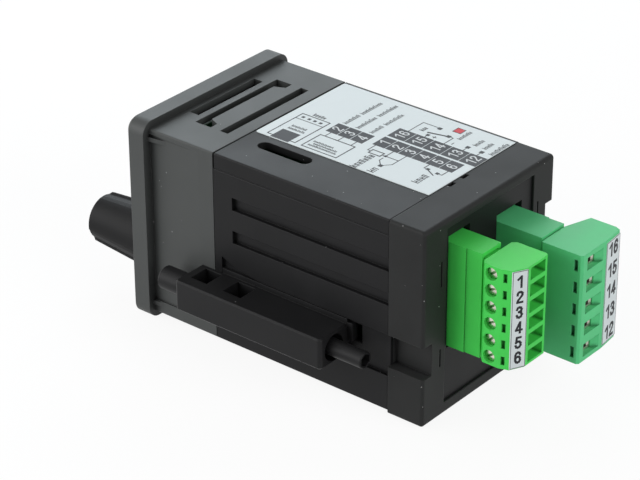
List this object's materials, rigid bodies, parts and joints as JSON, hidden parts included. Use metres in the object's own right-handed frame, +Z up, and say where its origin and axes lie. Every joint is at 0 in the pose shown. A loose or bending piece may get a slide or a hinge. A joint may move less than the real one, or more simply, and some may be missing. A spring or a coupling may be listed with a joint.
{
  "type": "temperature controller",
  "caption": "Panel-mounted temperature controller: square front frame with a setting knob, deep boxed case, pull-off screw terminals behind and a screw clamp on each side.",
  "frame": {"origin": "centre of the panel opening, in the plane where the front frame's back meets the panel", "axes": "+X to the right of someone facing the front, +Y into the panel towards the terminals, +Z up"},
  "size_m": [0.062, 0.1186, 0.048],
  "materials": {
    "frame_grey": "satin moulded",
    "foil_dark": "fine matt foil",
    "window_smoke": "smoked red, clear",
    "display_grey": "matt face",
    "case_black": "fine eroded texture",
    "clamp_black": "satin moulded",
    "knob_black": "satin moulded",
    "label_white": "printed foil",
    "terminal_green": "satin moulded",
    "terminal_sea_green": "satin moulded",
    "screw_nickel": "nickel plated",
    "contact_tin": "tin plated",
    "board_green": "solder mask",
    "component_dark": "moulded",
    "transformer_yellow": "tape over core"
  },
  "bodies": {
    "case": {"front_bezel": "frame_grey", "front_foil": "foil_dark", "display_window": "window_smoke", "led_display": "display_grey", "display_board": "board_green", "encoder_body": "component_dark", "encoder_nut": "screw_nickel", "lower_shell": "case_black", "top_lid": "case_black", "wiring_label": "label_white", "rear_cap": "case_black", "rear_plate": "case_black", "terminal_board": "board_green", "header_left": "terminal_green", "header_left_pins": "contact_tin", "header_right": "terminal_sea_green", "header_right_pins": "contact_tin", "clamp_bracket_right": "clamp_black", "clamp_bracket_left": "clamp_black", "logic_board": "board_green", "power_board": "board_green", "control_chip": "component_dark", "output_relay": "component_dark", "transformer": "transformer_yellow", "main_capacitor": "component_dark", "front_links": "component_dark", "rear_links": "component_dark"},
    "setting_knob": {"knob": "knob_black", "encoder_shaft": "screw_nickel"},
    "left_plug": {"plug_left": "terminal_green", "plug_left_clamps": "contact_tin", "plug_left_screws": "screw_nickel", "number_strip_left": "label_white"},
    "right_plug": {"plug_right": "terminal_sea_green", "plug_right_clamps": "contact_tin", "plug_right_screws": "screw_nickel", "number_strip_right": "label_white"},
    "right_foot": {"clamp_foot_right": "clamp_black"},
    "right_screw": {"clamp_screw_right": "clamp_black"},
    "left_foot": {"clamp_foot_left": "clamp_black"},
    "left_screw": {"clamp_screw_left": "clamp_black"}
  },
  "joints": [
    {"name": "knob_turn", "type": "hinge", "parent": "case", "child": "setting_knob", "pos_m": [0.013, 0, -0.0105], "axis": [0, 1, 0], "continuous": true},
    {"name": "left_plug_pull", "type": "slide", "parent": "case", "child": "left_plug", "axis": [0, 1, 0], "range_m": [0, 0.012]},
    {"name": "right_plug_pull", "type": "slide", "parent": "case", "child": "right_plug", "axis": [0, 1, 0], "range_m": [0, 0.014]},
    {"name": "right_foot_feed", "type": "slide", "parent": "case", "child": "right_foot", "axis": [0, -1, 0], "range_m": [0, 0.0065]},
    {"name": "right_screw_turn", "type": "hinge", "parent": "right_foot", "child": "right_screw", "pos_m": [0.0265, 0, -0.0092], "axis": [0, -1, 0], "range_deg": [0, 3345]},
    {"name": "left_foot_feed", "type": "slide", "parent": "case", "child": "left_foot", "axis": [0, -1, 0], "range_m": [0, 0.0065]},
    {"name": "left_screw_turn", "type": "hinge", "parent": "left_foot", "child": "left_screw", "pos_m": [-0.0265, 0, 0.0092], "axis": [0, -1, 0], "range_deg": [0, 3345]}
  ],
  "couplings": [
    {"joint": "right_screw_turn", "follows": "right_foot_feed", "rad_per_m": 8976},
    {"joint": "left_screw_turn", "follows": "left_foot_feed", "rad_per_m": 8976}
  ]
}
